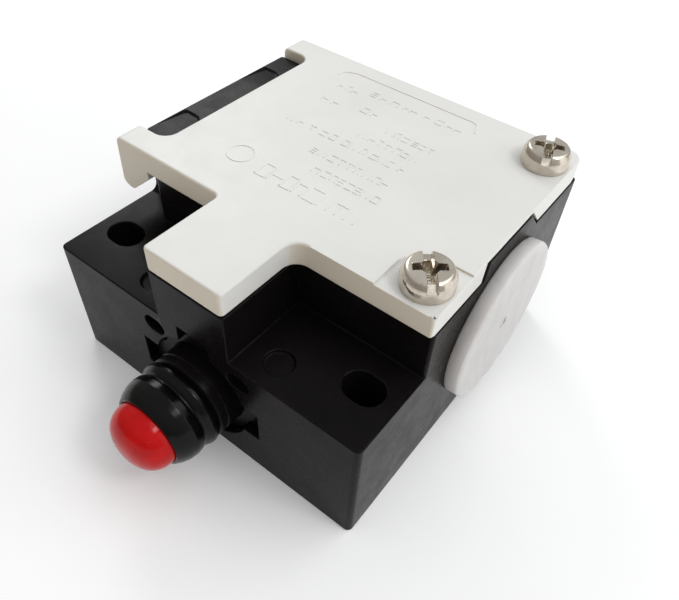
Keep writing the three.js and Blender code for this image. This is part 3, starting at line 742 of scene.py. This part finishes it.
def guide_bush():
    return on_plunger("guide_bush", [
        (3.2, 0), (6.0, 0), (6.2, 0.2), (6.2, 1.8), (7.3, 1.8, 0.1), (7.74, 2.1, 0.2), (7.74, 3.3), (7.62, 3.4),
        (7.62, 3.55), (7.74, 3.65), (7.74, 23.4), (7.5, 23.6),
        (5.3, 23.6), (5.3, 11), (3.2, 11), (3.2, 8.6), (4.7, 8.6), (4.7, 6.4), (3.2, 6.4), (3.2, 0)])


def inner_turned():
    on_plunger("shaft_seal", [
        (3.1, 0.3), (3.5, 0, 0.2), (4.3, 0, 0.2), (4.6, 0.4, 0.2), (4.6, 1.6, 0.2), (4.3, 2.0, 0.2),
        (3.5, 2.0, 0.2), (3.1, 1.7), (3.1, 0.3)], 72)
    on_plunger("bush_cap", [
        (3.2, 0), (5.0, 0), (5.2, 0.2), (5.2, 2.1), (7.2, 2.1), (7.4, 2.3), (7.4, 2.9), (7.2, 3.1), (3.4, 3.1),
        (3.2, 2.9), (3.2, 0)], 72)


# ---- Springs.
DEAD_TURNS = 0.75
WIRE_SIDES, TURN_STEPS = 10, 28


def spring(node, wire, turns, joint=None):
    """A compression spring with closed ends, that fills its node's box. Where a joint is named, the piece gets its
    own copy of the mesh."""
    lo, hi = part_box(node)
    centre = (lo + hi) / 2
    radius = (hi.x - lo.x) / 2 - wire
    start, end = lo.y + wire, hi.y - wire
    total = turns + 2 * DEAD_TURNS
    closed = 2 * wire * DEAD_TURNS
    count = round(total * TURN_STEPS)
    work = bmesh.new()
    rings = []
    for k in range(count + 1):
        turned = total * k / count
        if turned < DEAD_TURNS:
            y = start + closed * turned / DEAD_TURNS
        elif turned > total - DEAD_TURNS:
            y = end - closed * (total - turned) / DEAD_TURNS
        else:
            y = start + closed + (end - start - 2 * closed) * (turned - DEAD_TURNS) / (total - 2 * DEAD_TURNS)
        angle = 2 * math.pi * turned
        outward = Vector((math.cos(angle), 0, math.sin(angle)))
        middle = Vector((centre.x, y, centre.z)) + outward * radius
        ring = []
        for s in range(WIRE_SIDES):
            around = 2 * math.pi * s / WIRE_SIDES
            offset = outward * math.cos(around) + Vector((0, math.sin(around), 0))
            ring.append(work.verts.new(middle + wire * offset))
        rings.append(ring)
    for a, b in zip(rings, rings[1:]):
        for s in range(WIRE_SIDES):
            t = (s + 1) % WIRE_SIDES
            work.faces.new((a[s], a[t], b[t], b[s]))
    work.faces.new(rings[0])
    work.faces.new(rings[-1])
    item = stand_in(node, mesh_of(work, node))
    if joint:
        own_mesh(item)


def springs():
    spring("return_spring", 0.4 * MM, 4.5, "plunger_press")
    spring("carrier_spring", 0.35 * MM, 5, "carriage_travel")
    spring("bridge_spring_nc", 0.2 * MM, 3)
    spring("bridge_spring_no", 0.2 * MM, 3)


# ---- CAD nodes that keep their shape, with the width of their rounded edges in mm.
EDGE_WIDTHS = {
    "cover_gasket": 0.2, "bayonet_ring": 0.1, "contact_base": 0.15, "contact_lid": 0.2, "contact_carrier": 0.15,
    "bridge_nc": 0.1, "bridge_no": 0.1,
    **{f"{part}_{kind}_{side}": 0.1 for part in ("fixed_contact", "clamp_plate") for kind in ("nc", "no")
       for side in ("left", "right")},
}


def kept_nodes():
    for node, width in EDGE_WIDTHS.items():
        finish_node(node, width * MM)


# ---- Studio.
def area_light(name, at, size, power):
    data = bpy.data.lights.new(name, "AREA")
    data.shape, data.size, data.energy = "SQUARE", size, power
    lamp = bpy.data.objects.new(name, data)
    bpy.context.scene.collection.objects.link(lamp)
    lamp.location = at
    lamp.rotation_mode = "QUATERNION"
    lamp.rotation_quaternion = (Vector(LAMP_AIM) - Vector(at)).to_track_quat("-Z", "Y")


# The room's light: brightest toward a direction, and dim and warm away from it.
ROOM_TOWARD = (0.15, 0.28, 0.95)
ROOM_FROM, ROOM_TO = -0.35, 0.75
ROOM_DIM = (0.30, 0.265, 0.23, 1)
ROOM_BRIGHT = (0.62, 0.63, 0.64, 1)
# Each lamp's place and side in metres, and its power in watts.
LAMPS = {
    "key": ((0.22, 0.24, 0.48), 0.40, 0.70),
    "window": ((0.44, 0.07, 0.57), 0.15, 0.80),
    "left": ((-0.54, 0.40, 0.47), 0.28, 1.2),
    "side": ((0.50, 0.20, 0.16), 0.35, 0.3),
}
LAMP_AIM = (0, 0.02, 0.02)
FLOOR_HALF = 3.0
FLOOR_Z = -0.02 * MM


def room():
    """A soft room: bright overhead and behind, dimmer and warmer low down in front."""
    world = bpy.data.worlds.new("room")
    world.use_nodes = True
    nodes, links = world.node_tree.nodes, world.node_tree.links
    facing = nodes.new("ShaderNodeVectorMath")
    facing.operation = "DOT_PRODUCT"
    facing.inputs[1].default_value = ROOM_TOWARD
    links.new(nodes.new("ShaderNodeTexCoord").outputs["Generated"], facing.inputs[0])
    level = nodes.new("ShaderNodeMapRange")
    level.interpolation_type = "SMOOTHSTEP"
    links.new(facing.outputs["Value"], level.inputs["Value"])
    level.inputs["From Min"].default_value = ROOM_FROM
    level.inputs["From Max"].default_value = ROOM_TO
    shade = nodes.new("ShaderNodeMix")
    shade.data_type = "RGBA"
    shade.inputs[MIX_A].default_value = ROOM_DIM
    shade.inputs[MIX_B].default_value = ROOM_BRIGHT
    links.new(level.outputs["Result"], shade.inputs["Factor"])
    links.new(shade.outputs[MIX_RESULT], nodes["Background"].inputs["Color"])
    bpy.context.scene.world = world


def studio():
    mesh = bpy.data.meshes.new("floor")
    corners = [(x * FLOOR_HALF, y * FLOOR_HALF, FLOOR_Z) for x, y in ((-1, -1), (1, -1), (1, 1), (-1, 1))]
    mesh.from_pydata(corners, [], [(0, 1, 2, 3)])
    floor = bpy.data.objects.new("floor", mesh)
    bpy.context.scene.collection.objects.link(floor)
    g = Graph("floor")
    colour = g.mix(g.ramp(g.noise(60 * MM, 3), 0.3, 0.7), (0.93, 0.93, 0.93), (0.91, 0.91, 0.91))
    g.set(Emission_Strength=0.13)
    rough = g.ramp(g.noise(8 * MM, 3), 0.3, 0.7, 0.75, 0.85)
    mesh.materials.append(g.finish(colour, rough, g.bump(g.noise(1 * MM, 2), 0.01 * MM, 0.2)))
    room()
    for name, lamp in LAMPS.items():
        area_light(name, *lamp)
    bpy.context.scene.view_settings.view_transform = "Standard"


# ---- Assembly.
camera()
housing()
cover()
marking()
cover_screws()
inner_screws()
inserts()
entry_cap()
plunger_button()
plunger_shaft()
gaiter()
guide_bush()
inner_turned()
springs()
kept_nodes()
studio()
